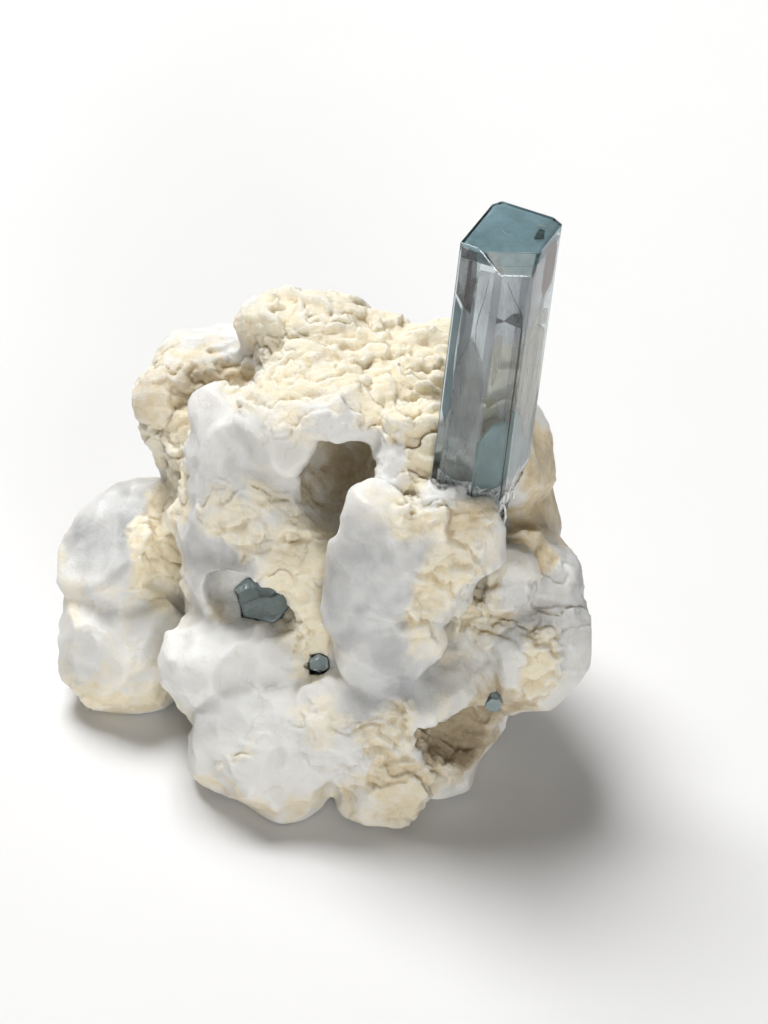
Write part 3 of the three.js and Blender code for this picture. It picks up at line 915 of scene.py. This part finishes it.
# each flake's name, face, inset below it, material and outline, as (across, depth) on the face
LEFT, FRONT, RIGHT = 246, -84, -24
SHEETS = [
    # painted reflections: brown, pale and streaky sheets under the right face stand in for the surroundings
    # seen in the back faces
    ("painted_reflection_right_upper", RIGHT, 0.3, stain_shade_and_reflection,
     [(-0.3, 0.9), (2.1, 1.1), (2.6, 2.2), (2.6, 4.4), (2.2, 6.0), (0.5, 6.5), (-0.3, 5)]),
    ("painted_reflection_right_patch", RIGHT, 0.35, pale, [(0.6, 7.8), (2.4, 8.6), (2.6, 10.4), (1.6, 10.0), (0.55, 9.0)]),
    ("painted_reflection_right_streaks", RIGHT, 0.4, streaky,
     [(-2.3, 8), (0.6, 9.4), (2.5, 11), (2.5, 19), (1.5, 23), (-1.6, 17)]),
    # a painted reflection: the dark grey-brown sheet under the top of the left face stands in for the dim room
    ("painted_reflection_left_upper", LEFT, 0.3, dark_reflection,
     [(-2.8, 0.5), (-1.3, 0.6), (-1.1, 3.4), (-1.25, 7.1), (-2.0, 6.6), (-2.8, 5.4)]),
    ("veil_left_strip", LEFT, 0.3, watery,
     [(-2.8, 5.8), (-2.1, 7.0), (-2.2, 12), (-2.0, 17.5), (-2.4, 19.5), (-2.8, 18)]),
    ("veil_front_low", FRONT, 0.8, teal, [(-1.2, 20.5), (-0.2, 18.6), (1.2, 18.0), (1.4, 27), (-1.2, 27)]),
    ("veil_right_low", RIGHT, 0.7, teal,
     [(-2.5, 16.8), (-1.0, 18.6), (0.8, 17.0), (2.5, 18.8), (2.4, 26), (-2.5, 27)]),
    ("veil_left_low", LEFT, 0.8, ashen,
     [(-2.4, 14.5), (-0.9, 9.5), (0.4, 12), (0.9, 18), (0.9, 26.5), (-2.4, 26)]),
    # painted sheen: pale sheets that give the etched foot its glassy whiteness
    ("painted_sheen_foot_left", LEFT, 0.45, glassy,
     [(-2.5, 24.6), (-1.0, 25.4), (0.9, 24.9), (0.9, 27.5), (-2.5, 27.5)]),
    ("painted_sheen_foot_front", FRONT, 0.45, glassy, [(-1.2, 25.4), (-0.2, 26.0), (1.3, 25.2), (1.3, 28), (-1.2, 28)]),
    ("painted_sheen_foot_right", RIGHT, 0.45, glassy,
     [(-2.6, 24.6), (-1.6, 25.8), (0.5, 25.0), (1.6, 26.5), (0.6, 28.5), (-2.6, 29)]),
    ("veil_bow_left", FRONT, 0.5, grey, [(-1.1, 6.75), (-0.5, 6.95), (-0.4, 7.2), (-1.1, 7.4)]),
    ("veil_bow_right", FRONT, 0.5, grey, [(-0.45, 7.1), (0.3, 6.3), (1.0, 6.2), (1.3, 7.9), (0.4, 7.5)]),
    ("veil_front_streaks", FRONT, 0.6, streaky, [(-1.0, 8.9), (-0.4, 8.3), (-0.15, 12), (-0.8, 14.3)]),
    ("veil_front_haze", FRONT, 1.6, haze,
     [(-1.3, 2.2), (1.5, 2.0), (1.6, 13), (0.6, 18.5), (-0.6, 15), (-1.4, 17)]),
    ("veil_left_haze", LEFT, 1.2, haze,
     [(-2.4, 7.5), (-1.0, 2.6), (0.8, 2.4), (0.8, 15), (-0.2, 22), (-2.0, 19)]),
    ("veil_right_haze", RIGHT, 1.5, haze,
     [(-2.2, 2.2), (1.8, 1.6), (2.0, 14), (0.5, 19), (-0.8, 15), (-2.2, 20)]),
]
for number, (name, face, inset, material, outline) in enumerate(SHEETS):
    make_sheet(name, on_face(face, inset, outline), 0.05, 330 + number, material)
TOP_CHIP = [
    (2.0, -1.5, 0.2), (2.3, -0.4, 0.25), (2.6, 0.3, 0.2), (3.1, 0.1, 0.3), (2.9, -0.7, 0.3), (3.0, -1.3, 0.3),
]
make_sheet("veil_top_chip", TOP_CHIP, 0.2, 345, chip_dark)

# each fine crack's name, face, inset, width, material and path, as (across, depth) on the face
CRACKS = [
    ("crack_right_arc", RIGHT, 0.2, 0.13, bright_line_and_highlight, [(2.7, 4.2), (2.5, 5.9), (1.7, 6.7), (0.1, 6.8)]),
    ("crack_front_long", FRONT, 0.3, 0.07, dark_line, [(-0.6, 2.8), (0.3, 4.8), (1.0, 6.1)]),
    ("crack_edge", FRONT, 0.25, 0.16, dark_line, [(0.95, 5.9), (1.25, 8.1), (1.3, 17.7), (1.35, 27.2)]),
    ("crack_right_one", RIGHT, 0.25, 0.06, dark_line, [(-1.6, 6.5), (-1.5, 9), (-1.9, 14), (-2.1, 20)]),
    ("crack_right_two", RIGHT, 0.25, 0.06, dark_line, [(0.9, 9.5), (0.2, 12), (0.4, 16), (-0.6, 21)]),
    ("crack_left_one", LEFT, 0.25, 0.06, dark_line, [(0.1, 2.8), (-0.1, 5), (-0.5, 8), (-0.3, 11)]),
]
for name, face, inset, width, material, path in CRACKS:
    make_thread(name, on_face(face, inset, path), width, material)
# a painted glint: a yellow thread on the basal face
make_thread("painted_glint_top", [(2.3, 1.0, 0.12), (2.8, 0.8, 0.1), (3.2, 0.7, 0.12)], 0.09, yellow_glint)
# painted highlights: bright rims of the glassy scallops at the foot
FOOT_RIM_HIGHLIGHTS = [
    (FRONT, [(-1.0, 25.2), (-0.5, 25.7), (0.1, 25.5)]),
    (FRONT, [(-0.6, 26.3), (0.2, 25.9), (0.9, 26.3), (1.3, 25.5)]),
    (RIGHT, [(-2.6, 24.2), (-2.1, 25.3), (-1.2, 25.1), (-0.9, 24.0)]),
    (RIGHT, [(-2.4, 26.2), (-1.5, 26.9), (-0.4, 26.2), (0.2, 25.2)]),
    (RIGHT, [(-2.6, 27.6), (-1.8, 28.4), (-1.2, 29.8), (-1.6, 31.2)]),
    (RIGHT, [(-0.6, 27.4), (0.2, 27.9), (0.5, 29.0)]),
    (LEFT, [(-0.9, 25.2), (-0.2, 25.8), (0.7, 25.6)]),
]
for number, (face, path) in enumerate(FOOT_RIM_HIGHLIGHTS):
    make_thread(f"foot_rim_highlight_{number}", on_face(face, 0.22, path), 0.26, bright_line_and_highlight)
make_thread("scratch_top", [(-0.9, 0, 0.08), (-0.6, -0.9, 0.08), (0, -1.3, 0.08)], 0.07, bright_line_and_highlight)
make_thread("scratch_back", [(-0.7, 1.6, 0.08), (0.2, 1.3, 0.08), (0.5, 0.9, 0.08)], 0.05, bright_line_and_highlight)

# stage --------------------------------------------------------------------------------------------
FLOOR_HALF = 2.0


def make_floor():
    mesh = bpy.data.meshes.new("floor")
    h = FLOOR_HALF
    mesh.from_pydata([(-h, -h, 0), (h, -h, 0), (h, h, 0), (-h, h, 0)], [], [(0, 1, 2, 3)])
    floor = new_object("floor", mesh)
    n = Nodes("floor_paper")
    place = n.add("ShaderNodeTexCoord").outputs["Object"]
    colour = n.mix(n.noise(60, 4, 0.6, place), (0.715, 0.715, 0.715, 1), (0.735, 0.735, 0.735, 1))
    shader = n.add("ShaderNodeBsdfPrincipled", {"Base Color": colour, "Roughness": 0.9})
    n.surface(shader)
    give(floor, n.material)


def make_light(name, place, target, size, energy):
    data = bpy.data.lights.new(name, "AREA")
    data.shape = "DISK"
    data.size = size
    data.energy = energy
    light = new_object(name, data)
    light.location = place
    light.rotation_euler = (Vector(target) - Vector(place)).to_track_quat("-Z", "Y").to_euler()


def make_world():
    """A soft room: pale overhead, dim and slightly warm towards the horizon."""
    world = bpy.data.worlds.new("studio")
    world.use_nodes = True
    tree = world.node_tree
    direction = tree.nodes.new("ShaderNodeTexCoord")
    split = tree.nodes.new("ShaderNodeSeparateXYZ")
    ramp = tree.nodes.new("ShaderNodeValToRGB")
    tree.links.new(direction.outputs["Generated"], split.inputs[0])
    tree.links.new(split.outputs["Z"], ramp.inputs[0])
    tree.links.new(ramp.outputs[0], tree.nodes["Background"].inputs["Color"])
    ramp.color_ramp.elements[0].position = 0.1
    ramp.color_ramp.elements[0].color = (0.07, 0.058, 0.05, 1)
    ramp.color_ramp.elements[1].position = 0.75
    ramp.color_ramp.elements[1].color = (0.11, 0.105, 0.10, 1)
    scene.world = world


def make_camera():
    """Looks down on the specimen from the front, with the crystal right of the middle."""
    target = Vector((6.13, -2.13, 24.3)) * MM
    tilt = math.radians(35)
    away = 400 * MM
    data = bpy.data.cameras.new("camera")
    data.lens = 150
    data.sensor_width = 36
    data.clip_start = 0.01
    camera = new_object("camera", data)
    camera.location = target + away * Vector((0, -math.cos(tilt), math.sin(tilt)))
    camera.rotation_euler = (math.pi / 2 - tilt, 0, 0)
    scene.camera = camera


make_floor()
make_light("key_softbox", (-0.26, 0.45, 0.98), (0, 0, 0.01), 0.62, 16.2)
make_light("front_fill", (0.16, -1.0, 0.25), (0, 0, 0.02), 0.40, 5.6)
make_world()
make_camera()
scene.view_settings.view_transform = "Standard"
scene.cycles.use_denoising = True
scene.cycles.max_bounces = 20
scene.cycles.diffuse_bounces = 5
scene.cycles.glossy_bounces = 8
scene.cycles.transmission_bounces = 18
scene.cycles.sample_clamp_indirect = 6.0
